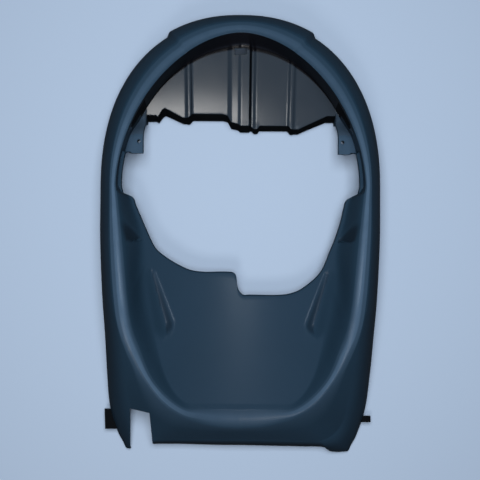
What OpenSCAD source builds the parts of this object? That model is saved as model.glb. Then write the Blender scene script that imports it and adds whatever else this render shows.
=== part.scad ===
// Inner front panel of a small scooter, lying on its back with the rider's side up.
// One injection moulded piece: an oval rim, a dished leg recess, a ribbed recess under the arch.
// X is across the scooter, +Y is towards the handlebar, +Z is towards the rider. Sizes in mm.

/* [Rim] */
// Distance from the middle height to the lowest point of the lower edge
long_ref = 360.5; // [346:0.5:371]
// Half the width over the lower edge of the rim at mid height
half_w = 226; // [205:1:240]
// Depth from the lower edge to the top of the rim
rim_h = 115; // [100:1:130]
// Wall thickness of the moulding
wall = 3; // [2.5:0.1:3.5]
// Height of the straight join between the arch and the lower sides, above the middle
join_y = 66; // [60:1:72]
// Rise of the lower edge of the arch above that join
arch_rise = 275; // [262:1:290]
// Drop of the rim crest towards the top and the bottom ends
crest_fall = 10; // [4:1:14]
// Width of the crest between its crease and its inner lip at the sides
crest_w = 11; // [9:0.5:14]

/* [Raised cap on the arch] */
// Angle from the middle to each end of the cap
cap_angle = 22; // [18:1:26]
// How far the cap stands out of the outline
cap_out = 6; // [4:1:10]
// How far the cap stands above the crest
cap_up = 2; // [1:0.5:3]

/* [Ribbed recess] */
// Height of the recess floor at its upper end
recess_top_z = 83; // [76:1:88]
// Height of the recess floor at its lower edge
recess_low_z = 28; // [24:1:34]
// Height of the centre channel and the ribs
rib_h = 4; // [2:0.5:5]
// Gap left under the return flange of the recess
flange_gap = 5; // [3:0.5:10]
// Lean of the return flange, as run over depth
flange_lean = 0.25; // [0.15:0.01:0.3]
// Width of the hook slot
slot_w = 19; // [14:0.5:24]
// Height of the hook slot
slot_h = 9; // [6:0.5:11]

/* [Screw tabs] */
// Distance between the two tab screw holes
hole_spacing = 321; // [318:1:322]
// Height of the screw holes above the join of the arch
hole_rise = 73.7; // [70:0.1:77]
// Height of the tab plates
tab_z = 62; // [56:1:66]
// Bore of the tab screw holes
hole_d = 5.5; // [4:0.5:6.5]
// Outer diameter of the screw boss under each tab
boss_d = 10; // [9:0.5:11]
// Depth of the screw boss below the tab
boss_h = 14; // [8:1:20]

/* [Leg recess] */
// Height of the dished floor at its middle
dish_z = 50; // [44:1:56]
// Rise of the dished floor from the middle to the sides
dish_rise = 34; // [28:1:38]
// Rise of the dished floor towards its lower end
dish_end_rise = 21; // [16:1:24]
// Depth of the two long scoops
scoop_deep = 7; // [4:0.5:8]
// Depth of the two upper pockets
pocket_deep = 5; // [3:0.5:6]
// Depth of the small return along the opening
lip_deep = 5; // [4:0.5:6]

/* [Lower corners] */
// How far the lower left leg stands out more than the right one
leg_spread = 5; // [0:0.5:7]
// How much higher the lower edge lies on the left than on the right
leg_lift = 3.5; // [0:0.5:5]
// Width of the cut-out in the lower left corner
notch_w = 32; // [26:1:36]
// Thickness of the small mounting tabs outside the rim
low_tab_t = 4; // [3:0.5:5]
// Height of the small mounting tabs above the lower edge
low_tab_z = 12; // [8:1:16]

/* [Hidden] */
$fn = 48;

// The curves of the lower half are in percent of half the width, the length and the depth.
pct = [half_w / 100, long_ref / 100, rim_h / 100];
flank_w = 25;
crease_w = half_w - flank_w;
lip_w = crease_w - crest_w;
side_deep = 27;
side_floor_z = rim_h - side_deep;
// Rises of the other three arch curves above the join, and the powers of the four ovals.
crease_inset = 24;
lip_inset = 39;
base_inset = 57;
crease_rise = arch_rise - crease_inset;
lip_rise = arch_rise - lip_inset;
base_rise = arch_rise - base_inset;
edge_power = 2.3;
crease_power = 2.1;
lip_power = 1.8;
base_power = 1.95;

function mix(a, b, t) = a + (b - a) * t;
function limit(v, a, b) = min(max(v, a), b);
function ease(t) = let (c = limit(t, 0, 1)) c * c * (3 - 2 * c);
function unit(v) = v / max(norm(v), 0.0001);
function flat(p) = [p[0], p[1]];

// Smooth run through control points, each a place on the ring with the values there.
function seg(run, p, i = 0) = (i >= len(run) - 2 || p < run[i + 1][0]) ? i : seg(run, p, i + 1);
function val(run, i) = [for (k = [1:len(run[i]) - 1]) run[i][k]];
function slope(run, i) =
    let (a = max(i - 1, 0), b = min(i + 1, len(run) - 1))
    (val(run, b) - val(run, a)) / (run[b][0] - run[a][0]);
function along(run, p) =
    let (i = seg(run, p), h = run[i + 1][0] - run[i][0], t = limit((p - run[i][0]) / h, 0, 1))
    val(run, i) * (1 + 2 * t) * (1 - t) * (1 - t) + slope(run, i) * h * t * (1 - t) * (1 - t)
    + val(run, i + 1) * t * t * (3 - 2 * t) - slope(run, i + 1) * h * t * t * (1 - t);

// Oval arch: place 0 is the top of the arch, place 1 the join on the side.
function oval(a, b, n, place) =
    [a * pow(sin(90 * place), 2 / n), join_y + b * pow(cos(90 * place), 2 / n)];
function crest_z(y) = rim_h - crest_fall * pow((y - 30) / 330, 2);
function cap(place) = 1 - ease((atan2(oval(lip_w, lip_rise, lip_power, place)[0],
    oval(lip_w, lip_rise, lip_power, place)[1] - join_y) - cap_angle + 1) / 2);

// Lower half of the ring, in percent: place, x, y, z from the join (1) to the bottom middle (11).
edge_run = [
    [1, 100, 18.2, 0], [2, 100, -4.1, 0], [3, 98.5, -28.9, 0], [4, 96.7, -45.4, 0],
    [5, 94.2, -65.2, 0], [6, 91.2, -80.5, 0], [7, 85, -93, 0], [7.3, 81.4, -97.2, 0],
    [7.5, 79.6, -99.6, 0], [7.6, 77.9, -100, 0], [8.1, 66.4, -99.9, 0], [8.25, 62.4, -98, 0],
    [9, 47.8, -97.6, 0], [10, 23.9, -97.3, 0], [11, 0, -97, 0]
];
crease_run = [
    [1, 88.9, 18.4, 96.8], [2, 88.7, -4.1, 97.8], [3, 86.2, -29.2, 96], [4, 82.7, -43.9, 90.8],
    [5, 78.6, -59.9, 76], [6, 75.5, -74.4, 55], [7, 71.8, -86.6, 32], [8, 59.8, -92.9, 30],
    [9, 40.7, -93.2, 31], [10, 20.3, -92.8, 33], [11, 0, -92.5, 35]
];
band_run = [
    [1, 87.7, 18.4, 98.8], [2, 87, -4.1, 99.3], [3, 84.4, -29.5, 97.6], [4, 80.6, -43.9, 93.4],
    [5, 71.8, -56.3, 87.5], [6, 63.4, -65.2, 82.6], [7, 52.2, -74.4, 76.6], [8, 39.8, -80.2, 69.4],
    [9, 26.6, -83.5, 64.2], [10, 13.3, -85.3, 61.2], [11, 0, -85.8, 60.2]
];
lip_run = [
    [1, 84, 18.4, 98], [2, 80.3, -4.1, 98.2], [3, 76.6, -29.7, 96.6], [4, 73.2, -42.5, 92.6],
    [5, 68, -51.8, 86.4], [6, 61.2, -62.3, 80.4], [7, 51, -70.6, 74.6], [8, 37.6, -76.9, 68.8],
    [9, 24.8, -77.6, 65.2], [10, 12.4, -77.7, 63], [11, 0, -77.9, 62.4]
];

function scaled(p) = [p[0] * pct[0], p[1] * pct[1], p[2] * pct[2]];
function arch(a, b, n, place, out, up, z) =
    let (q = oval(a, b, n, place), d = unit(q - [0, join_y]), c = cap(place))
    [q[0] + d[0] * out * c, q[1] + d[1] * out * c, z == 0 ? 0 : crest_z(q[1]) - z + up * c];
function edge_at(p) = p < 1 ? arch(half_w, arch_rise, edge_power, p, cap_out, 0, 0)
    : scaled(along(edge_run, p));
function crease_at(p) = p < 1 ? arch(crease_w, crease_rise, crease_power, p, cap_out - 2, cap_up, 4)
    : scaled(along(crease_run, p));
function lip_at(p) = p < 1 ? arch(lip_w, lip_rise, lip_power, p, 0, cap_up, 2)
    : scaled(along(lip_run, p));
function band_at(p) = p < 1 ? let (c = crease_at(p), l = lip_at(p))
    [mix(c[0], l[0], 0.25), mix(c[1], l[1], 0.25), c[2] + 2.2] : scaled(along(band_run, p));

// Floor of the recess under the arch: a gentle hollow slope with ribs along it.
// The ribs are in percent of half the width, then in shares of the rib height.
ribs = [
    [-38.9, 0], [-37.6, 1], [-35.4, 1], [-34.4, 0], [-9.4, 0], [-6.9, 1], [-1.9, 1], [-0.2, 1.5],
    [5.8, 1.5], [7.3, -0.8], [8.8, -0.8], [10.2, 0], [33.2, 0], [34.5, 0.8], [36.7, 0.8], [38.1, 0]
];
hole_y = join_y + hole_rise;
recess_low_y = join_y + arch_rise * 0.36;
recess_top_y = join_y + base_rise;
strip_rise = 47;
strip_top_y = hole_y + strip_rise;
strip_x = half_w * 0.62;
function rib_z(x) = rib_h * lookup(x / pct[0], ribs);
function recess_z(x, y) =
    let (
        s = limit((y - recess_low_y) / (recess_top_y - recess_low_y), 0, 1.1),
        z = mix(recess_low_z, recess_top_z, pow(s, 1.25))
    )
    abs(x) < strip_x ? z + rib_z(x) : mix(z, tab_z, ease((strip_top_y - y) / 40));

// Floor of the leg recess with its scoops and pockets.
scoop_top = [0.611 * half_w, -0.195 * long_ref];
scoop_end = [0.514 * half_w, -0.416 * long_ref];
pocket_top = [0.8 * half_w, 0.04 * long_ref];
pocket_end = [0.69 * half_w, -0.048 * long_ref];
dish_half_w = 0.81 * half_w;
function scoop(x, y) =
    let (
        v = [abs(x), y], run = scoop_end - scoop_top,
        t = limit((v - scoop_top) * run / (run * run), 0, 1),
        d = norm(v - scoop_top - run * t) / mix(8, 12, t)
    )
    d >= 1 ? 0 : scoop_deep * pow(1 - d * d, 1.6) * mix(0.35, 1, t);
function pocket(x, y) =
    let (
        v = [abs(x), y] - pocket_top, run = pocket_end - pocket_top,
        t = v * run / (run * run), d = norm(v - run * t) / mix(4, 9, t)
    )
    (t < 0 || y < pocket_end[1] || d > 1) ? 0 : pocket_deep * t * (1 - d * d);
function dish_z_at(x, y) = dish_z + dish_rise * pow(x / dish_half_w, 2)
    + dish_end_rise * pow(max(0, -y / long_ref - 0.165) / 0.61, 2) - scoop(x, y) - pocket(x, y);

// Inner outline of the recess: x in percent of half the width, y of the rise of the arch.
recess_outline = [
    [-66.7, 43.2], [-60.4, 43.2], [-59.1, 42.1], [-55.9, 46.1], [-54, 47.1], [-47.7, 44.5],
    [-41.3, 41.9], [-36.9, 41.9], [-34.4, 44], [-12.8, 44], [-9.4, 43.2], [-6.9, 39.4],
    [-1.9, 38.4], [-0.2, 37.3], [7.3, 37.3], [9.5, 35.7], [12.2, 36], [13.3, 37.6],
    [33.9, 37.6], [35.6, 35.7], [41.1, 35.7], [45.9, 37.6], [61.2, 43.3], [67.1, 43.3]
];
recess_x = [
    -66.7, -63.5, -60.4, -59.1, -55.9, -54, -47.7, -41.3, -38.9, -37.6, -35.4, -34.4, -27,
    -19.9, -12.8, -9.4, -6.9, -4.4, -1.9, -0.2, 2.7, 5.8, 7.3, 8.8, 10.2, 12.2, 13.3, 19.9,
    26.5, 33.2, 34.5, 36.7, 38.1, 41.1, 45.9, 53.1, 61.2, 67.1
];
// Strip and screw tab, measured from the hole: height where the column leaves the rim,
// then x from the inner edge of the tab and height of its inner end.
tab_in = hole_spacing / 2 - 6;
tab_low = -19;
tab_step = 17.9;
tab_ends = [
    [41.3, -2.3, 32.8], [25.3, -0.7, 20.7], [10.3, 0, 7.9], [-2.7, 0, -5.7],
    [tab_low + 3.9, 0, tab_low], [tab_low + 3.2, tab_step, tab_low],
    [tab_low + 2.7, tab_step, tab_low + 2.4], [tab_low + 2.2, tab_step + 5.6, tab_low + 2.4]
];
side_top = hole_y + tab_low + 1.7;
side_low = join_y + 2;

// Inner outline of the leg recess against the place on the ring, right side then left side:
// place, x in percent of half the width, y in percent of the length.
dish_run = [
    [1.08, 81, 16.1], [1.13, 74.1, 13.8], [1.3, 71.8, 10.3], [1.6, 69.8, 4.5], [2.05, 66, -3.4],
    [2.7, 62.2, -9.3], [3.6, 58.4, -15.5], [4.6, 54.4, -19.5], [5.6, 49.2, -22.7],
    [6.6, 42.4, -25.9], [7.6, 35, -27.8], [8.6, 26.5, -28.5], [10.2, 6.6, -28.5],
    [10.7, 2.2, -28.5], [10.9, -0.5, -26.9], [11.1, -1.7, -24.9], [11.3, -2.2, -22.2],
    [11.5, -3.2, -19.6], [11.8, -6.4, -18.5], [13.3, -25.2, -18.5], [14.6, -34.6, -17.7],
    [15.6, -41.2, -16], [16.6, -48.5, -13.4], [17.7, -55, -10.5], [18.6, -59, -8],
    [19.4, -62.5, -4], [20.2, -68.3, 4.3], [20.6, -72.5, 10.6], [20.87, -75.2, 14.4],
    [20.92, -81, 16]
];
dish_places = [
    1.08, 1.13, 1.3, 1.5, 1.7, 1.9, 2.1, 2.3, 2.5, 2.7, 2.9, 3.15, 3.4, 3.7, 4, 4.35, 4.7,
    5.1, 5.5, 5.9, 6.3, 6.8, 7.3, 7.8, 8.4, 9, 9.6, 10.2
];
mid_places = [10.7, 10.9, 11.1, 11.3, 11.5, 11.75];

// One column of the moulding: place on the ring, side, kind of floor, inner end.
function recess_place(x) = asin(pow(abs(x) / lip_w, base_power / 2)) / 90;
function strip_place(y) = acos(pow((y - join_y) / base_rise, base_power / 2)) / 90;
function dish_end(p) = let (q = along(dish_run, p)) [q[0] * pct[0], q[1] * pct[1]];
function recess_cols() = [for (x = recess_x)
    [recess_place(x * pct[0]), x < 0 ? -1 : 1, 0,
        [x * pct[0], join_y + lookup(x, recess_outline) * arch_rise / 100]]];
function tab_cols(s) = [for (t = tab_ends)
    [strip_place(hole_y + t[0]), s, 1, [s * (tab_in + t[1]), hole_y + t[2]]]];
function side_cols(s) = [for (i = [0:3])
    [strip_place(mix(side_top, side_low, i / 3)), s, 2, [0, 0]]];
function dish_cols(s) = [for (p = dish_places) [p, s, 3, dish_end(s > 0 ? p : 22 - p)]];
function mid_cols() = [for (q = mid_places)
    [q > 11 ? 22 - q : q, q > 11 ? -1 : 1, 3, dish_end(q)]];
function back(list) = [for (i = [len(list) - 1:-1:0]) list[i]];
cols = concat(recess_cols(), tab_cols(1), side_cols(1), dish_cols(1), mid_cols(),
    back(concat(tab_cols(-1), side_cols(-1), dish_cols(-1))));

// The left half is the mirror of the right, but for the spread and lift of its lower leg.
function flip(p, s, share = 0) = s > 0 ? p :
    [-p[0] - leg_spread * share * ease(-p[1] / long_ref * 1.8 - 0.7),
    p[1] + leg_lift * share * ease(p[0] / half_w * 2) * ease((-p[1] / long_ref - 0.85) * 10), p[2]];
// Upper face of one column, from the lower edge of the rim to the end of the return.
floor_steps = 11;
function column(c) =
    let (
        p = c[0], s = c[1], kind = c[2],
        e = flip(edge_at(p), s, 1), cr = flip(crease_at(p), s, 0.6), k = flip(band_at(p), s),
        l = flip(lip_at(p), s),
        bow = p < 1 ? 0.9 : mix(0.9, 1.2, ease((p - 6) / 4)),
        m = [(k[0] + l[0]) / 2, (k[1] + l[1]) / 2, (k[2] + l[2]) / 2 + bow],
        q = oval(lip_w, base_rise, base_power, p),
        inwards = unit(flat(l) - flat(e)),
        o2 = kind == 2 ? [s * q[0], q[1]] + inwards * 5 : c[3],
        run = unit(o2 - flat(l)),
        roll = min(mix(40, 9, ease((p - 3) / 5)), norm(o2 - flat(l)) * 0.75),
        b2 = kind == 3 ? flat(l) + run * roll : kind == 2 ? [s * q[0], q[1]] : kind == 0
            ? [c[3][0], q[1]] : [s * q[0], q[1]]
    )
    let (
        ground = function (v) kind == 0 || kind == 1 ? recess_z(v[0], v[1])
            : kind == 2 ? side_floor_z : dish_z_at(v[0], v[1]),
        bz = ground(b2), drop = l[2] - ground(flat(l)),
        wall_pts = kind == 3
            ? [for (t = [0.3, 0.65]) let (v = mix(flat(l), b2, t))
                [v[0], v[1], ground(v) + drop * pow(1 - t * t, 2)]]
            : [for (t = [[0.12, 0.1], [0.75, 0.88]])
                [mix(l[0], b2[0], t[0]), mix(l[1], b2[1], t[0]), mix(l[2], bz, t[1])]],
        floor_pts = [for (i = [1:floor_steps]) let (v = mix(b2, o2, i / floor_steps))
            [v[0], v[1], ground(v)]],
        end = floor_pts[floor_steps - 1],
        deep = kind == 0 ? end[2] - flange_gap : kind == 1
            ? mix(end[2] - flange_gap, lip_deep, ease((hole_y + 40 - end[1]) / 12)) : lip_deep,
        out = kind == 0 ? [0, -1] : unit(o2 - b2)
    )
    concat(
        [e],
        [for (a = [15, 30, 46]) let (t = (cos(a) - cos(60)) / (1 - cos(60)), u = sin(a) / sin(60))
            [mix(cr[0], e[0], t), mix(cr[1], e[1], t), mix(e[2], cr[2], u)]],
        [cr, (cr + k) / 2 + [0, 0, 0.6], k, m, l],
        wall_pts,
        [[b2[0], b2[1], bz]],
        floor_pts,
        [[end[0] + out[0] * deep * flange_lean, end[1] + out[1] * deep * flange_lean, end[2] - deep]]
    );

// Lower face: the same column moved by the wall thickness, at right angles to its own run.
base_at = 11;
function heading(c, j) =
    let (a = unit(flat(c[8]) - flat(c[0])), b = unit(flat(c[len(c) - 2]) - flat(c[base_at])))
    j < base_at ? a : j == base_at ? unit(a + b) : b;
function rise(c, i) = let (d = heading(c, i < base_at ? 0 : base_at + 1), v = c[i + 1] - c[i])
    unit([max(flat(v) * d, i < 8 ? 0.001 : -100), v[2]]);
function under(c) = [for (j = [0:len(c) - 1])
    let (
        t1 = rise(c, max(j - 1, 0)), t2 = rise(c, min(j, len(c) - 2)),
        n1 = [t1[1], -t1[0]], n2 = [t2[1], -t2[0]],
        m = (n1 + n2) / max(1 + n1 * n2, 0.5) * wall, d = heading(c, j)
    )
    [c[j][0] + d[0] * m[0], c[j][1] + d[1] * m[0], j == 0 ? 0 : c[j][2] + m[1]]];

module shell() {
    rows = [for (c = cols) let (top = column(c)) concat(top, back(under(top)))];
    n = len(rows);
    m = len(rows[0]);
    points = [for (r = rows) for (p = r) p];
    faces = [for (i = [0:n - 1]) for (j = [0:m - 1])
        let (a = i * m + j, b = i * m + (j + 1) % m, c = ((i + 1) % n) * m + (j + 1) % m,
            d = ((i + 1) % n) * m + j)
        each [[a, c, b], [a, d, c]]];
    polyhedron(points = points, faces = faces, convexity = 10);
}

// Screw boss under a tab, with the bore through both.
module at_holes() {
    for (side = [-1, 1])
        translate([side * hole_spacing / 2, hole_y, 0])
            children();
}
module tab_boss() {
    translate([0, 0, tab_z - wall - boss_h])
        cylinder(d = boss_d, h = boss_h + wall / 2);
}
module tab_bore() {
    translate([0, 0, tab_z - wall - boss_h - 1])
        cylinder(d = hole_d, h = boss_h + wall + 2);
}

// Slot for a hook, near the top of the centre channel.
slot_edge = 2;
slot_mid = [-0.005 * half_w, recess_top_y - slot_edge - slot_h / 2];
module hook_slot() {
    translate([slot_mid[0] - slot_w / 2, slot_mid[1] - slot_h / 2, recess_low_z])
        cube([slot_w, slot_h, rim_h - recess_low_z - 12]);
}

// Cut-out that leaves a leg tip at the lower left corner.
notch_x = -0.765 * half_w;
notch_top = -0.783 * long_ref;
module corner_notch() {
    right = notch_x + notch_w;
    translate([0, 0, -1])
        linear_extrude(rim_h)
            polygon([
                [notch_x, notch_top], [right, notch_top - 5],
                [right + 3, -long_ref - 20], [notch_x - 5, -long_ref - 20]
            ]);
}

// Small mounting tabs low down on the outside of the rim:
// side, place of the upper and lower end, how far each end stands out.
low_tabs = [[-1, 6, 6.75, 8, 16], [1, 6.2, 6.42, 10, 13]];
low_tab_seat = wall * 1.3;
module low_mounting_tabs() {
    for (t = low_tabs) {
        upper = flip(edge_at(t[1]), t[0], 1);
        lower = flip(edge_at(t[2]), t[0], 1);
        translate([0, 0, low_tab_z])
            linear_extrude(low_tab_t)
                polygon([
                    [upper[0] + t[0] * t[3], upper[1]], [lower[0] + t[0] * t[4], lower[1]],
                    [lower[0] - t[0] * low_tab_seat, lower[1]], [upper[0] - t[0] * low_tab_seat, upper[1]]
                ]);
    }
}

// The whole moulding, with the middle of its length at the origin.
mid_y = (join_y + arch_rise + cap_out - long_ref) / 2;
module front_panel() {
    color("#33475a")
        translate([0, -mid_y, 0])
            difference() {
                union() {
                    shell();
                    at_holes() tab_boss();
                    low_mounting_tabs();
                }
                at_holes() tab_bore();
                hook_slot();
                corner_notch();
            }
}

front_panel();
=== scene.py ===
# Inner front panel of a small scooter, lying on its back with the rider's side up, seen from above.
import math
import bmesh
import bpy
import numpy as np
from mathutils import Matrix, Vector


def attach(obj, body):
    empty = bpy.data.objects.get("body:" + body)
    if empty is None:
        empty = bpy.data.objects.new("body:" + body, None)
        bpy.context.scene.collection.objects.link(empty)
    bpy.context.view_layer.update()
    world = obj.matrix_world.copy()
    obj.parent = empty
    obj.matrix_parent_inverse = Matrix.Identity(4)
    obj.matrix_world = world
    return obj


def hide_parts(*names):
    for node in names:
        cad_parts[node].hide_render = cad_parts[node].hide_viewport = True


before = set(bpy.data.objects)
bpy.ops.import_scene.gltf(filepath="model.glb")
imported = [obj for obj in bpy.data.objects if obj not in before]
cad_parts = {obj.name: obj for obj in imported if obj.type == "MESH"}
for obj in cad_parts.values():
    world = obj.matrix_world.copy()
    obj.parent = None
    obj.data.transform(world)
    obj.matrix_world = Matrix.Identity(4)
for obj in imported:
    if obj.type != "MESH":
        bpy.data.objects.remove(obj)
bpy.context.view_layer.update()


# The front panel is one injection moulding in dark slate blue polypropylene with an even wall,
# held by two screws. First its rim: an oval ring with an outer edge, a crease, a crowned band and
# an inner lip. A place on it is 0 at the top of the arch, 1 at the arch's end and 11 at the foot.
half_w = 226.0
length = 360.5
depth = 115.0
wall = 3.0
join_y = 66.0
arch_rise = 275.0
peak = 6
crease_in, crease_drop, crease_power = 25, 24, 2.1
lip_in, lip_drop, lip_power = 36, 39, 1.8
base_drop, base_power = 57, 1.95
edge_power = 2.3
lip_w = half_w - lip_in
lip_rise = arch_rise - lip_drop
base_rise = arch_rise - base_drop
middle_y = (join_y + arch_rise + peak - length) / 2
percent = np.array([half_w, length, depth]) / 100
foot_place = 11
crest_fall, fall_from, fall_run = 10, 30, 330
cap_angle, cap_fade = 21, 2
left_spread, left_lift = 5, 3.5
# Sizes are in mm. Below the arch each row is (place, across, along, height), the last three in
# percent of half width, length and depth.
edge_run = [
    [1, 100, 18.2, 0], [2, 100, -4.1, 0], [3, 98.5, -28.9, 0], [4, 96.7, -45.4, 0],
    [5, 94.2, -65.2, 0], [6, 91.2, -80.5, 0], [7, 85, -93, 0], [7.3, 81.4, -97.2, 0],
    [7.5, 79.6, -99.6, 0], [7.6, 77.9, -100, 0], [8.1, 66.4, -99.9, 0], [8.25, 62.4, -98, 0],
    [9, 47.8, -97.6, 0], [10, 23.9, -97.3, 0], [11, 0, -97, 0],
]
crease_run = [
    [1, 88.9, 18.4, 96.8], [2, 88.7, -4.1, 97.8], [3, 86.2, -29.2, 96], [4, 82.7, -43.9, 90.8],
    [5, 78.6, -59.9, 76], [6, 75.5, -74.4, 55], [7, 71.8, -86.6, 32], [8, 59.8, -92.9, 30],
    [9, 40.7, -93.2, 31], [10, 20.3, -92.8, 33], [11, 0, -92.5, 35],
]
band_run = [
    [1, 87.7, 18.4, 98.8], [2, 87, -4.1, 99.3], [3, 84.4, -29.5, 97.6], [4, 80.6, -43.9, 93.4],
    [5, 71.8, -56.3, 87.5], [6, 63.4, -65.2, 82.6], [7, 52.2, -74.4, 76.6],
    [8, 39.8, -80.2, 69.4], [9, 26.6, -83.5, 64.2], [10, 13.3, -85.3, 61.2], [11, 0, -85.8, 60.2],
]
lip_run = [
    [1, 84, 18.4, 98], [2, 80.3, -4.1, 98.2], [3, 76.6, -29.7, 96.6], [4, 73.2, -42.5, 92.6],
    [5, 68, -51.8, 86.4], [6, 61.2, -62.3, 80.4], [7, 51, -70.6, 74.6], [8, 37.6, -76.9, 68.8],
    [9, 24.8, -77.6, 65.2], [10, 12.4, -77.7, 63], [11, 0, -77.9, 62.4],
]


def mix(a, b, t):
    return a + (b - a) * t


def ease(t):
    t = min(max(t, 0.0), 1.0)
    return t * t * (3 - 2 * t)


def unit(v):
    return v / max(np.linalg.norm(v), 1e-4)


def along(run, place):
    run = np.asarray(run, float)
    i = int(np.clip(np.searchsorted(run[:, 0], place, side="right") - 1, 0, len(run) - 2))

    def slope(k):
        a, b = max(k - 1, 0), min(k + 1, len(run) - 1)
        return (run[b, 1:] - run[a, 1:]) / (run[b, 0] - run[a, 0])

    h = run[i + 1, 0] - run[i, 0]
    t = min(max((place - run[i, 0]) / h, 0.0), 1.0)
    return (run[i, 1:] * (1 + 2 * t) * (1 - t) ** 2 + slope(i) * h * t * (1 - t) ** 2
            + run[i + 1, 1:] * t * t * (3 - 2 * t) - slope(i + 1) * h * t * t * (1 - t))


def oval(a, b, power, place):
    turn = math.radians(90 * place)
    x = a * max(math.sin(turn), 0) ** (2 / power)
    return np.array([x, join_y + b * max(math.cos(turn), 0) ** (2 / power)])


# The cap is the raised middle of the arch, and fades out 21 to 23 degrees to each side.
def cap(place):
    x, y = oval(lip_w, lip_rise, lip_power, place)
    return 1 - ease((math.degrees(math.atan2(x, y - join_y)) - cap_angle) / cap_fade)


def arch(a, b, power, place, out, up, drop):
    q = oval(a, b, power, place)
    q = q + unit(q - np.array([0, join_y])) * out * cap(place)
    crest = depth - crest_fall * ((q[1] - fall_from) / fall_run) ** 2
    return np.array([q[0], q[1], 0 if drop == 0 else crest - drop + up * cap(place)])


def edge_at(place):
    if place < 1:
        return arch(half_w, arch_rise, edge_power, place, peak, 0, 0)
    return along(edge_run, place) * percent


def crease_at(place):
    if place < 1:
        return arch(half_w - crease_in, arch_rise - crease_drop, crease_power, place, 4, 2, 4)
    return along(crease_run, place) * percent


def lip_at(place):
    if place < 1:
        return arch(lip_w, lip_rise, lip_power, place, 0, 2, 2)
    return along(lip_run, place) * percent


def band_at(place):
    if place < 1:
        crease, lip = crease_at(place), lip_at(place)
        return np.array([*mix(crease[:2], lip[:2], 0.25), crease[2] + 2.2])
    return along(band_run, place) * percent


# The left half mirrors the right one, but its leg stands a little wider and ends higher.
def flip(p, side, share=0.0):
    if side > 0:
        return p
    out = left_spread * share * ease(-p[1] / length * 1.8 - 0.7)
    lift = left_lift * share * ease(p[0] / half_w * 2) * ease((-p[1] / length - 0.85) * 10)
    return np.array([-p[0] - out, p[1] + lift, p[2]])


# The ribbed recess under the arch is moulded in one with the rim. It falls from the arch to a free,
# irregular edge, and runs down both sides as strips that end in the two screw tabs.
# A rib's row is (percent of half width, height in rib steps), and the free edge's row (percent of
# half width, percent of the arch's rise).
rib_step = 4
ribs = np.array([
    [-38.9, 0], [-37.6, 1], [-35.4, 1], [-34.4, 0], [-9.4, 0], [-6.9, 0.92], [-1.9, 1.08],
    [-0.2, 1.5], [5.8, 1.5], [7.3, -0.8], [8.8, -0.8], [10.2, 0], [33.2, 0], [34.5, 0.8],
    [36.7, 0.8], [38.1, 0],
])
recess_outline = np.array([
    [-66.7, 43.2], [-60.4, 43.2], [-59.1, 42.1], [-55.9, 46.1], [-54, 47.1], [-47.7, 44.5],
    [-41.3, 41.9], [-36.9, 41.9], [-34.4, 44], [-12.8, 44], [-9.4, 43.2], [-6.9, 39.4],
    [-1.9, 38.4], [-0.2, 37.3], [7.3, 37.3], [9.5, 35.7], [12.2, 36], [13.3, 37.6],
    [33.9, 37.6], [35.6, 35.7], [41.1, 35.7], [45.9, 37.6], [61.2, 43.3], [67.1, 43.3],
])
hole_y = join_y + 73.7
hole_x = 160.5
tab_in = hole_x - 6
tab_z = 62.0
recess_low_z, recess_high_z = 28, 83
strip_from = half_w * 0.62
level_y, level_run = hole_y + 47, 40
# A row is one station down the tab: its height on the strip from the hole, then its free end
# across from tab_in and along from the hole.
tab_ends = np.array([
    [41.3, -2.3, 32.8], [25.3, -0.7, 20.7], [10.3, 0, 7.9], [-2.7, 0, -5.7], [-15.1, 0, -19],
    [-15.8, 17.9, -19], [-16.3, 17.9, -16.6], [-16.8, 23.5, -16.6],
])


def softly(x, table, reach=0.35):
    return sum(np.interp(x + d, table[:, 0], table[:, 1]) for d in (-reach, 0, reach)) / 3


def recess_z(x, y):
    low_y = join_y + arch_rise * 0.36
    s = min(max((y - low_y) / (join_y + base_rise - low_y), 0), 1.1)
    z = mix(recess_low_z, recess_high_z, s ** 1.25)
    if abs(x) < strip_from:
        return z + rib_step * softly(x / percent[0], ribs)
    return mix(z, tab_z, ease((level_y - y) / level_run))


# The leg recess fills the lower half: a dished floor, moulded in one with the rim, with two long
# scoops and two pockets pressed into its upper corners. Its upper edge is free and stepped.
# That edge is (place, percent across, percent along), from the right side round to the left.
dish_z0, dish_side_rise, dish_foot_rise = 50, 34, 21
dish_run = [
    [1.08, 81, 16.1], [1.13, 74.1, 13.8], [1.3, 71.8, 10.3], [1.6, 69.8, 4.5], [2.05, 66, -3.4],
    [2.7, 62.2, -9.3], [3.6, 58.4, -15.5], [4.6, 54.4, -19.5], [5.6, 49.2, -22.7],
    [6.6, 42.4, -25.9], [7.6, 35, -27.8], [8.6, 26.5, -28.5], [10.2, 6.6, -28.5],
    [10.7, 2.2, -28.5], [10.9, -0.5, -26.9], [11.1, -1.7, -24.9], [11.3, -2.2, -22.2],
    [11.5, -3.2, -19.6], [11.8, -6.4, -18.5], [13.3, -25.2, -18.5], [14.6, -34.6, -17.7],
    [15.6, -41.2, -16], [16.6, -48.5, -13.4], [17.7, -55, -10.5], [18.6, -59, -8],
    [19.4, -62.5, -4], [20.2, -68.3, 4.3], [20.6, -72.5, 10.6], [20.87, -75.2, 14.4],
    [20.92, -81, 16],
]
scoop_top = np.array([0.611 * half_w, -0.195 * length])
scoop_end = np.array([0.514 * half_w, -0.416 * length])
pocket_top = np.array([0.8 * half_w, 0.04 * length])
pocket_end = np.array([0.725 * half_w, -0.048 * length])
scoop_depth, pocket_depth = 5.5, 6


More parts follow.
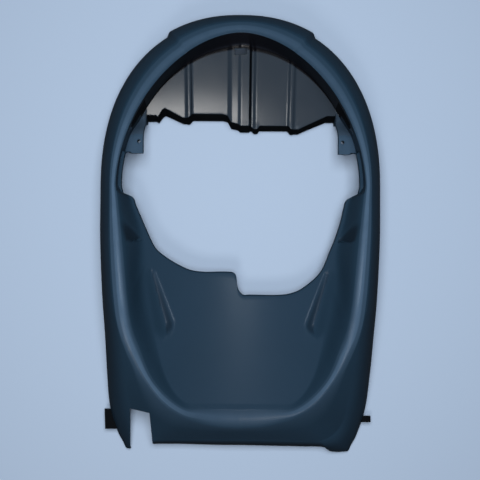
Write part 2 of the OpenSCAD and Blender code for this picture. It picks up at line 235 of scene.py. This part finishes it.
def dish_dents(x, y):
    def beside(v, start, run, t, wide):
        return np.linalg.norm(v - start - run * t) / wide

    v, run = np.array([abs(x), y]), scoop_end - scoop_top
    t = min(max((v - scoop_top) @ run / (run @ run), 0), 1)
    inside = v[0] < (scoop_top + run * t)[0]
    near = beside(v, scoop_top, run, t, mix(9, 15, t) if inside else mix(12, 20, t))
    scoop = 0 if near >= 1 else scoop_depth * (1 - near ** 2) ** 2 * mix(0.3, 1, t)
    run = pocket_end - pocket_top
    t = (v - pocket_top) @ run / (run @ run)
    near = beside(v, pocket_top, run, t, mix(4, 10.5, max(t, 0)))
    outside = t < 0 or y < pocket_end[1] or near > 1
    pocket = 0 if outside else pocket_depth * t * (1 - near ** 2)
    return scoop, pocket, inside


def dish_z(x, y):
    scoop, pocket, inside = dish_dents(x, y)
    return (dish_z0 + dish_side_rise * (x / (0.81 * half_w)) ** 2
            + dish_foot_rise * (max(0, -y / length - 0.165) / 0.61) ** 2 - scoop - pocket)


# Painted shade in the two pockets and on the inner side of the scoops, darker where the dent is
# deeper.
def dish_shade(x, y):
    scoop, pocket, inside = dish_dents(x, y)
    return -0.5 * ease(pocket / 2.5) - (0.4 if inside else 0.0) * ease(scoop / 3)


# The moulding is swept in columns: each runs from the rim's lower edge over the crest, down the
# inner wall and along the floor to its free end. Folds are rounded, as the mould makes them, and
# each point has a painted-light value: above 0 the colour is drawn paler, on the crest as a painted
# highlight, and below 0 it is darkened as painted shade.
in_recess, on_strip, at_side, in_dish = range(4)
side_lip, side_floor_z = 5, depth - 27
long_roll, short_roll = 80, 10
flange = 5.0
edge_lean = 0.25
wall_steps, wall_out, wall_fall = [0, 0.25, 0.55, 1], [0, 0.12, 0.75, 1], [0, 0.1, 0.88, 1]
flank_count, wall_count, floor_count = 11, 14, 22
rim_count = flank_count + 6


def recess_place(x):
    return math.degrees(math.asin((abs(x) / lip_w) ** (base_power / 2))) / 90


def strip_place(y):
    return math.degrees(math.acos(((y - join_y) / base_rise) ** (base_power / 2))) / 90


def column(place, side, kind, inner):
    edge, crease = flip(edge_at(place), side, 1), flip(crease_at(place), side, 0.6)
    band, lip = flip(band_at(place), side), flip(lip_at(place), side)
    bow = 0.9 if place < 1 else mix(0.9, 1.2, ease((place - 6) / 4))
    crest = (band + lip) / 2 + np.array([0, 0, bow])
    q = oval(lip_w, base_rise, base_power, place) * np.array([side, 1])
    if kind == at_side:
        inner = q + unit(lip[:2] - edge[:2]) * side_lip
    inner = np.asarray(inner, float)
    if kind == in_dish:
        tail = ease((place - 4) / 4)
        roll = min(mix(long_roll, short_roll, tail), 0.85 * np.linalg.norm(inner - lip[:2]))
        slow = mix(mix(2, 5.5, ease((roll - 30) / (long_roll - 30))), 2, tail)
        foot = lip[:2] + unit(inner - lip[:2]) * roll
    else:
        foot = np.array([inner[0], q[1]]) if kind == in_recess else q

    def ground(v):
        if kind == at_side:
            return side_floor_z
        return dish_z(*v) if kind == in_dish else recess_z(*v)

    def flank(turns):
        out = []
        for a in turns:
            t = (math.cos(math.radians(a)) - 0.5) / 0.5
            u = math.sin(math.radians(a)) / math.sin(math.radians(60))
            out.append([*mix(crease[:2], edge[:2], t), mix(edge[2], crease[2], u)])
        return out

    def inner_wall(steps):
        if kind == in_dish:
            drop = lip[2] - ground(lip[:2])
            spots = [(t, mix(lip[:2], foot, t)) for t in steps]
            return [[*v, ground(v) + drop * (1 - t * t) ** slow] for t, v in spots]
        foot_z = ground(foot)
        return [[*mix(lip[:2], foot, np.interp(k, wall_steps, wall_out)),
                 mix(lip[2], foot_z, np.interp(k, wall_steps, wall_fall))] for k in steps]

    def floor(count):
        spots = [mix(foot, inner, i / count) for i in range(1, count + 1)]
        return [[*v, ground(v)] for v in spots]

    end = np.array([*inner, ground(inner)])
    deep = flange
    if kind == in_recess:
        deep = end[2] - flange
    if kind == on_strip:
        deep = mix(end[2] - flange, flange, ease((hole_y + 40 - end[1]) / 12))
    out = np.array([0, -1]) if kind == in_recess else unit(inner - foot)
    last = [*(end[:2] + out * deep * edge_lean), end[2] - deep]
    top = [band * 0.5 + crease * 0.5 + np.array([0, 0, 0.6]), band, crest, lip]
    first = [*foot, ground(foot)]
    coarse = [edge, *flank([15, 30, 46]), crease, *top]
    coarse += inner_wall([0.3, 0.65] if kind == in_dish else wall_steps[1:3])
    coarse += [first, *floor(floor_count // 2), last]

    fine = [edge, *flank(range(5, 60, 5)), crease, *top]
    if kind == in_dish:
        fine += inner_wall(np.linspace(0, 1, wall_count + 2)[1:-1])
    else:
        fine += inner_wall(np.interp(np.arange(1, wall_count + 1), [0, 3.5, 8, 15], wall_steps))
    fine += [first, *floor(floor_count), last]

    # How far, in mm, each fold is rounded to both sides.
    soft = [1.0] + [0] * flank_count + [5 if place < 1 else 1.2, 6, 4, 3, 1.6]
    soft += [0] * wall_count + [3] + [0] * (floor_count - 1) + [1.0, 0.6]

    # The crest carries a painted highlight, strongest along the straight sides, weaker over the arch
    # and towards the foot. Painted shade darkens the flank below it and the inner wall of the recess
    # and the strips, and the strips' floor is drawn paler.
    to_foot = ease((place - 6) / 3)
    crest_highlight = mix(0.5, 1, ease(place * 2 - 1)) * mix(1, 0.45, to_foot)
    crest_highlight *= 0.92 if side > 0 else 1
    flank_shade = -ease(place / 2 - 0.5) * mix(0.3, 0.65, to_foot)
    wall_shade, floor_paleness = [-1, -0.4, 0, 0][kind], [0, 0.5, 0, 0][kind]
    light_values = [flank_shade] * 9 + [flank_shade * 0.8, flank_shade * 0.5, flank_shade * 0.2, 0, 0, 0.35 * crest_highlight, crest_highlight, 0.25 * crest_highlight]
    light_values += [wall_shade] * (wall_count + 1) + [floor_paleness] * (floor_count + 1)
    if kind == in_dish:
        light_values[rim_count:] = [dish_shade(*p[:2]) for p in fine[rim_count:]]
    return np.array(coarse), rounded(np.array(fine, float), soft), spread_out(light_values, soft)


def rounded(points, reach, steps=4):
    out = []
    for i, p in enumerate(points):
        if reach[i] == 0 or i in (0, len(points) - 1):
            out.append(p)
            continue
        before, after = points[i - 1] - p, points[i + 1] - p
        a = p + before * min(reach[i] / max(np.linalg.norm(before), 1e-3), 0.45)
        b = p + after * min(reach[i] / max(np.linalg.norm(after), 1e-3), 0.45)
        for k in range(steps + 1):
            t = k / steps
            out.append(a * (1 - t) ** 2 + p * 2 * t * (1 - t) + b * t * t)
    return np.array(out)


def spread_out(values, reach, steps=4):
    return np.repeat(values, [1 if r == 0 or i in (0, len(reach) - 1) else steps + 1
                              for i, r in enumerate(reach)])


# The lower face follows the coarse column, one wall below it.
lip_row, foot_row = 8, 11


def under(c):
    a, b = unit(c[lip_row, :2] - c[0, :2]), unit(c[-2, :2] - c[foot_row, :2])
    heads = [a if j < foot_row else unit(a + b) if j == foot_row else b for j in range(len(c))]

    def rise(i):
        v = c[i + 1] - c[i]
        ahead = v[:2] @ heads[i if i < foot_row else foot_row + 1]
        return unit(np.array([max(ahead, 0.001) if i >= lip_row else ahead, v[2]]))

    out = []
    for j in range(len(c)):
        t1, t2 = rise(max(j - 1, 0)), rise(min(j, len(c) - 2))
        n1, n2 = np.array([t1[1], -t1[0]]), np.array([t2[1], -t2[0]])
        m = (n1 + n2) / max(1 + n1 @ n2, 0.5) * wall
        out.append([*(c[j, :2] + heads[j] * m[0]), 0 if j == 0 else c[j, 2] + m[1]])
    return np.array(out)


# The columns run round the ring: the recess from left to right, then down the right side, through
# the dish and up the left side. They stand closer where a rib or a corner needs them.
def ring_columns():
    first, last = recess_outline[0, 0], recess_outline[-1, 0]
    marks = set(np.round(np.arange(first, last + 0.1, 1.15), 3)) | {last}
    for x in list(ribs[:, 0]) + list(recess_outline[:, 0]):
        marks |= {x - 0.35, x, x + 0.35}
    marks = [x for x in sorted(marks) if first <= x <= last]
    marks = [x for i, x in enumerate(marks) if i == 0 or x - marks[i - 1] > 0.12]
    recess = [column(recess_place(x * percent[0]), -1 if x < 0 else 1, in_recess,
                     [x * percent[0], join_y + softly(x, recess_outline) * arch_rise / 100])
              for x in marks]

    def tab(side):
        rows = []
        for u in np.unique(np.concatenate([np.linspace(0, 7, 36), [3.93, 4.07, 4.93, 5.07]])):
            t = [np.interp(u, range(8), tab_ends[:, k]) for k in range(3)]
            rows.append(column(strip_place(hole_y + t[0]), side, on_strip,
                               [side * (tab_in + t[1]), hole_y + t[2]]))
        return rows

    def edge_side(side):
        top, low = hole_y - 17.3, join_y + 2
        ends = [mix(top, low, i / 14) for i in range(15)]
        return [column(strip_place(y), side, at_side, [0, 0]) for y in ends]

    def dish_column(place):
        side = -1 if place > foot_place else 1
        own_place = 2 * foot_place - place if side < 0 else place
        return column(own_place, side, in_dish, along(dish_run, place) * percent[:2])

    places = np.concatenate([[1.08, 1.1], np.linspace(1.13, 3.4, 70), np.linspace(3.45, 10.2, 110)])
    right = tab(1) + edge_side(1) + [dish_column(p) for p in places]
    middle = [dish_column(p) for p in np.linspace(10.24, 11.76, 34)]
    left = tab(-1) + edge_side(-1) + [dish_column(2 * foot_place - p) for p in places]
    return recess + right + middle + left[::-1]


def mesh_piece(name, points, faces):
    mesh = bpy.data.meshes.new(name)
    mesh.from_pydata(points, [], faces)
    mesh.update()
    piece = bpy.data.objects.new(name, mesh)
    bpy.context.scene.collection.objects.link(piece)
    return piece


def placed(points):
    return (np.asarray(points, float) - np.array([0, middle_y, 0])) / 1000


# The closed shell: each row holds a column's upper points and, backwards, its lower ones. Points
# that fall together at the corners are merged.
columns = ring_columns()
rows = [np.concatenate([fine, under(coarse)[::-1]]) for coarse, fine, light_values in columns]
n, m = len(rows), len(rows[0])
quads = [(i * m + j, i * m + (j + 1) % m, (i + 1) % n * m + (j + 1) % m, (i + 1) % n * m + j)
         for i in range(n) for j in range(m)]
panel = mesh_piece("moulded_panel", placed(np.concatenate(rows)).tolist(), quads)
# Each point carries its painted-light value: above 0 a painted highlight, below 0 painted shade.
painted_light = panel.data.attributes.new("painted_light", "FLOAT", "POINT")
painted_light_values = [np.append(light_values, np.zeros(len(coarse))) for coarse, fine, light_values in columns]
painted_light.data.foreach_set("value", np.concatenate(painted_light_values))
clean = bmesh.new()
clean.from_mesh(panel.data)
bmesh.ops.remove_doubles(clean, verts=clean.verts, dist=2e-6)
clean.to_mesh(panel.data)
clean.free()


def prism(name, outline, z0, z1):
    count = len(outline)
    points = [[*p, z0] for p in outline] + [[*p, z1] for p in outline]
    faces = [tuple(range(count))[::-1], tuple(range(count, 2 * count))]
    faces += [(i, (i + 1) % count, (i + 1) % count + count, i + count) for i in range(count)]
    return mesh_piece(name, placed(points).tolist(), faces)


round_sides = 64


def circle(x, y, d, count=round_sides):
    turns = [2 * math.pi * k / count for k in range(count)]
    return [[x + d / 2 * math.cos(a), y + d / 2 * math.sin(a)] for a in turns]


def cut(piece, tool):
    change = piece.modifiers.new("cut", "BOOLEAN")
    change.operation = "DIFFERENCE"
    change.solver = "EXACT"
    change.object = tool
    bpy.context.view_layer.update()
    whole = piece.evaluated_get(bpy.context.evaluated_depsgraph_get())
    shape = bpy.data.meshes.new_from_object(whole)
    piece.modifiers.clear()
    piece.data = shape
    bpy.data.objects.remove(tool)


# Openings that the mould leaves: a bore through each screw tab, the hook slot at the head of the
# centre channel, and the slanted cut-out at the lower left corner.
bore_d, boss_d, boss_h = 5.5, 10, 14
for side in (-1, 1):
    ring = circle(side * hole_x, hole_y, bore_d)
    cut(panel, prism("bore", ring, tab_z - wall - boss_h - 1, tab_z + 2))
slot_w, slot_l = 19, 9
slot_x, slot_y = -0.005 * half_w, join_y + base_rise - 6.5
corners = [(-1, -1), (1, -1), (1, 1), (-1, 1)]
outline = [[slot_x + right * slot_w / 2, slot_y + up * slot_l / 2] for right, up in corners]
cut(panel, prism("slot", outline, 28, depth - 12))
notch_w, notch_top_w = 35, 32
left, top, low = -0.765 * half_w, -0.783 * length, -length - 20
outline = [[left - 5, low], [left + notch_w, low], [left + notch_top_w, top - 5], [left, top]]
cut(panel, prism("notch", outline, -1, depth - 1))


# Parts of the same moulding that stand off its wall: a round screw boss under each tab, and a
# small flat mounting tab low on the outside of each leg.
def add_to(piece, extra):
    both = bmesh.new()
    both.from_mesh(piece.data)
    both.from_mesh(extra.data)
    both.to_mesh(piece.data)
    both.free()
    bpy.data.objects.remove(extra)


for side in (-1, 1):
    inner, outer = [circle(side * hole_x, hole_y, d) for d in (bore_d, boss_d)]
    boss_low, boss_top = tab_z - wall - boss_h, tab_z - wall / 2
    rings = [(outer, boss_low), (outer, boss_top), (inner, boss_top), (inner, boss_low)]
    points = [[*p, z] for ring, z in rings for p in ring]
    starts = [k * round_sides for k in range(4)]
    faces = [(here + i, here + (i + 1) % round_sides, there + (i + 1) % round_sides, there + i)
             for here, there in zip(starts, starts[1:] + starts[:1]) for i in range(round_sides)]
    add_to(panel, mesh_piece("boss", placed(points).tolist(), faces))
low_tab_z, low_tab_t, low_tab_root = 12, 4, 3.9
# Each is (side, upper and lower place on the rim, how far out its upper and lower corner stand).
low_tabs = [(-1, 6, 6.75, 8, 16), (1, 6.2, 6.42, 10, 13)]
for side, upper_at, lower_at, upper_out, lower_out in low_tabs:
    upper, lower = flip(edge_at(upper_at), side, 1), flip(edge_at(lower_at), side, 1)
    outline = [[upper[0] + side * upper_out, upper[1]], [lower[0] + side * lower_out, lower[1]],
               [lower[0] - side * low_tab_root, lower[1]], [upper[0] - side * low_tab_root, upper[1]]]
    add_to(panel, prism("low_tab", outline[::-side], low_tab_z, low_tab_z + low_tab_t))


def srgb(code):
    parts = [int(code[i:i + 2], 16) / 255 for i in (1, 3, 5)]
    return [c / 12.92 if c <= 0.04045 else ((c + 0.055) / 1.055) ** 2.4 for c in parts] + [1.0]


def node(tree, kind, settings=(), links=()):
    made = tree.nodes.new(kind)
    for key, value in dict(settings).items():
        if isinstance(key, int) or key in made.inputs:
            made.inputs[key].default_value = value
        else:
            setattr(made, key, value)
    for key, source in dict(links).items():
        tree.links.new(source, made.inputs[key])
    return made


# Polypropylene as the mould leaves it. Two close shades drift over some 10 cm, a finer noise
# breaks up the painted highlight and the sheen, and the painted-light values mix in a paler colour
# as painted highlight and a near-black as painted shade.
# A real mould grain of 0.1 to 0.2 mm is too fine to show, so it is drawn 0.7 mm wide.
def plastic(name, dark, light, rough, gloss, coat, grain_mm, grain_height_mm):
    material = bpy.data.materials.new(name)
    material.use_nodes = True
    tree = material.node_tree
    shader = tree.nodes["Principled BSDF"]
    shader.inputs["IOR"].default_value = 1.49
    shader.inputs["Specular IOR Level"].default_value = gloss
    shader.inputs["Specular Tint"].default_value = srgb("#bcd6ff") if coat else srgb("#ffffff")
    shader.inputs["Coat Weight"].default_value = coat
    shader.inputs["Coat Roughness"].default_value = 0.2
    place = {"Vector": node(tree, "ShaderNodeTexCoord").outputs["Object"]}
    cloud = node(tree, "ShaderNodeTexNoise", {"Scale": 9, "Detail": 3, "Roughness": 0.5}, place)
    tint = node(tree, "ShaderNodeMix", {"data_type": "RGBA", 6: srgb(dark), 7: srgb(light)},
                {0: cloud.outputs[0]})
    painted_light = node(tree, "ShaderNodeAttribute", {"attribute_name": "painted_light"}).outputs["Fac"]
    speckle = node(tree, "ShaderNodeTexNoise", {"Scale": 45, "Detail": 5, "Roughness": 0.65}, place)
    patch = node(tree, "ShaderNodeMapRange", {1: 0.3, 2: 0.7, 3: 0.8, 4: 1.0},
                 {0: speckle.outputs[0]})
    share = node(tree, "ShaderNodeMath", {"operation": "MULTIPLY"}, {0: painted_light, 1: patch.outputs[0]})
    # Painted highlight: a paler slate blue where the painted-light value is above 0.
    painted_highlight = node(tree, "ShaderNodeMix", {"data_type": "RGBA", 7: srgb("#465c72")},
                 {0: share.outputs[0], 6: tint.outputs[2]})
    # Painted shade: near-black where the painted-light value is below 0.
    fold = node(tree, "ShaderNodeMath", {"operation": "MULTIPLY", 1: -1.0}, {0: painted_light})
    painted_shade = node(tree, "ShaderNodeMix", {"data_type": "RGBA", 7: srgb("#0c0c10")},
                  {0: fold.outputs[0], 6: painted_highlight.outputs[2]})
    tree.links.new(painted_shade.outputs[2], shader.inputs["Base Color"])
    even = node(tree, "ShaderNodeMapRange", {3: rough - 0.04, 4: rough + 0.05},
                {0: speckle.outputs[0]})
    tree.links.new(even.outputs[0], shader.inputs["Roughness"])
    grain = node(tree, "ShaderNodeTexNoise", {"Scale": 1000 / grain_mm, "Detail": 2}, place)
    bump = node(tree, "ShaderNodeBump", {"Strength": 0.5, "Distance": grain_height_mm / 1000},
                {"Height": grain.outputs[0]})
    tree.links.new(bump.outputs[0], shader.inputs["Normal"])
    return material


# Fine-grained plastic on the rim and the dish: a dark slate blue with a broad, bluish sheen.
of_grain, of_smooth, of_painted_shade = range(3)
panel.data.materials.append(plastic(
    "moulded_polypropylene_fine_grain", dark="#1d303f", light="#213546", rough=0.52,
    gloss=0.32, coat=0.12, grain_mm=0.7, grain_height_mm=0.05))
# The ribbed recess, its strips and the screw tabs are left smooth by the mould: a greyer plastic
# that mirrors the small lamps in narrow streaks. Its faint unevenness is drawn 1.2 mm wide.
panel.data.materials.append(plastic(
    "moulded_polypropylene_smooth", dark="#2a333d", light="#313a44", rough=0.18,
    gloss=0.5, coat=0.0, grain_mm=1.2, grain_height_mm=0.01))
# Painted shade on the turned-down edges and the low tabs: nearly black, and dull from all sides.
panel.data.materials.append(plastic(
    "moulded_polypropylene_painted_shade", dark="#07090c", light="#0b0e12", rough=0.7,
    gloss=0.1, coat=0.0, grain_mm=0.7, grain_height_mm=0.05))
smooth_from, shade_from, smooth_below_z = hole_y + 11, hole_y + 20, 95


def finish_of(face):
    x, y, z = face.center
    x, y, z = x * 1000, y * 1000 + middle_y, z * 1000
    from_tab = abs(z - low_tab_z - low_tab_t / 2)
    # The low tabs' flat faces get the painted shade.
    if from_tab < 2.1 and y < -0.75 * length and abs(face.normal.z) > 0.99:
        return of_painted_shade
    reach = ((abs(x) / (lip_w - 1)) ** base_power
             + (max(y - join_y, 0) / (base_rise + 2)) ** base_power)
    if y <= smooth_from or reach >= 1.0 or z >= smooth_below_z or face.normal.z < -0.3:
        return of_grain
    # Steep faces of the recess, its inner wall and turned-down edge, get the painted shade.
    steep = face.normal.z < 0.5 and face.normal.y < 0.2
    return of_painted_shade if steep and y > shade_from else of_smooth


for face in panel.data.polygons:
    face.material_index = finish_of(face)
# Folds sharper than this stay crisp.
crisp_fold = math.radians(34)
panel.data.polygons.foreach_set("use_smooth", [True] * len(panel.data.polygons))
panel.data.set_sharp_from_angle(angle=crisp_fold)
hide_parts("front_panel")
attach(panel, "root")

# The floor is a pale matt sheet under the panel. It keeps the shadow, and away from the panel the
# camera sees it fade to an even pale tone. A faint unevenness, 2.5 mm wide, breaks up its sheen.
sheet_colour = srgb("#b0c1d8")
fade_from, fade_to = 0.55, 1.5
half_sheet = 6
floor_material = bpy.data.materials.new("pale_matt_sheet")
floor_material.use_nodes = True
tree = floor_material.node_tree
sheet = tree.nodes["Principled BSDF"]
sheet.inputs["Base Color"].default_value = sheet_colour
sheet.inputs["Roughness"].default_value = 0.6
place = node(tree, "ShaderNodeTexCoord").outputs["Object"]
noise = node(tree, "ShaderNodeTexNoise", {"Scale": 400, "Detail": 2}, {"Vector": place})
bump = node(tree, "ShaderNodeBump", {"Strength": 0.2, "Distance": 0.0002},
            {"Height": noise.outputs[0]})
tree.links.new(bump.outputs[0], sheet.inputs["Normal"])
away = node(tree, "ShaderNodeVectorMath", {"operation": "LENGTH"}, {0: place})
fade = node(tree, "ShaderNodeMapRange", {1: fade_from, 2: fade_to}, {0: away.outputs["Value"]})
seen_ray = node(tree, "ShaderNodeLightPath").outputs["Is Camera Ray"]
share = node(tree, "ShaderNodeMath", {"operation": "MULTIPLY"}, {0: fade.outputs[0], 1: seen_ray})
plain = node(tree, "ShaderNodeEmission", {"Strength": 1.0, "Color": sheet_colour})
both = node(tree, "ShaderNodeMixShader", {},
            {0: share.outputs[0], 1: sheet.outputs[0], 2: plain.outputs[0]})
tree.links.new(both.outputs[0], tree.nodes["Material Output"].inputs["Surface"])
floor = mesh_piece("floor", [[x * half_sheet, y * half_sheet, 0] for x, y in corners], [(0, 1, 2, 3)])
floor.data.materials.append(floor_material)
floor.visible_glossy = False


# Three soft lamps: a large one over the upper half, which stays out of reflections so that the
# dish keeps an even tone, a small one over the middle for the crest's highlight, and a low box
# beyond the foot for the streaks in the recess. The world is dim, and pale only to the camera.
def soft_light(name, place, aim, size, energy, color):
    lamp = bpy.data.lights.new(name, "AREA")
    lamp.shape = "RECTANGLE"
    lamp.size, lamp.size_y = size
    lamp.energy = energy
    lamp.color = color
    box = bpy.data.objects.new(name, lamp)
    box.location = place
    box.rotation_euler = (Vector(place) - Vector(aim)).to_track_quat("Z", "Y").to_euler()
    bpy.context.scene.collection.objects.link(box)
    return box


lamp = soft_light("lamp", place=(0.0, 0.35, 1.7), aim=(0, 0, 0), size=(0.8, 0.8),
                  energy=24, color=(0.95, 0.98, 1.0))
lamp.visible_glossy = False
soft_light("small_lamp", place=(0.0, -0.2, 1.8), aim=(0, 0, 0), size=(0.2, 0.2),
           energy=5, color=(0.8, 0.9, 1.0))
soft_light("low_box", place=(-0.23, -0.98, 1.9), aim=(0, 0.15, 0), size=(0.46, 0.55),
           energy=7, color=(1.0, 0.98, 0.95))
world = bpy.data.worlds.new("studio")
bpy.context.scene.world = world
world.use_nodes = True
tree = world.node_tree
dim = tree.nodes["Background"]
dim.inputs["Color"].default_value = (0.80, 0.90, 1.0, 1.0)
dim.inputs["Strength"].default_value = 0.05
pale = node(tree, "ShaderNodeBackground", {"Strength": 1.0, "Color": sheet_colour})
seen_ray = node(tree, "ShaderNodeLightPath").outputs["Is Camera Ray"]
both = node(tree, "ShaderNodeMixShader", {}, {0: seen_ray, 1: dim.outputs[0], 2: pale.outputs[0]})
tree.links.new(both.outputs[0], tree.nodes["World Output"].inputs["Surface"])

# The camera hangs 1.49 m above the panel and looks straight down, but for half a degree.
picture_px, focal_px = 480, 904.47
camera_at = (-0.00977, -0.0118, 1.48586)
camera_lean = (-0.0025587, 0.0066072, -0.0060197)
lens = bpy.data.cameras.new("camera")
lens.sensor_width = 36
lens.lens = focal_px / picture_px * 36
camera = bpy.data.objects.new("camera", lens)
turn = Matrix.Rotation(-np.linalg.norm(camera_lean), 4, Vector(camera_lean).normalized())
camera.matrix_world = Matrix.Translation(camera_at) @ turn
bpy.context.scene.collection.objects.link(camera)
bpy.context.scene.camera = camera
bpy.context.scene.view_settings.view_transform = "Standard"
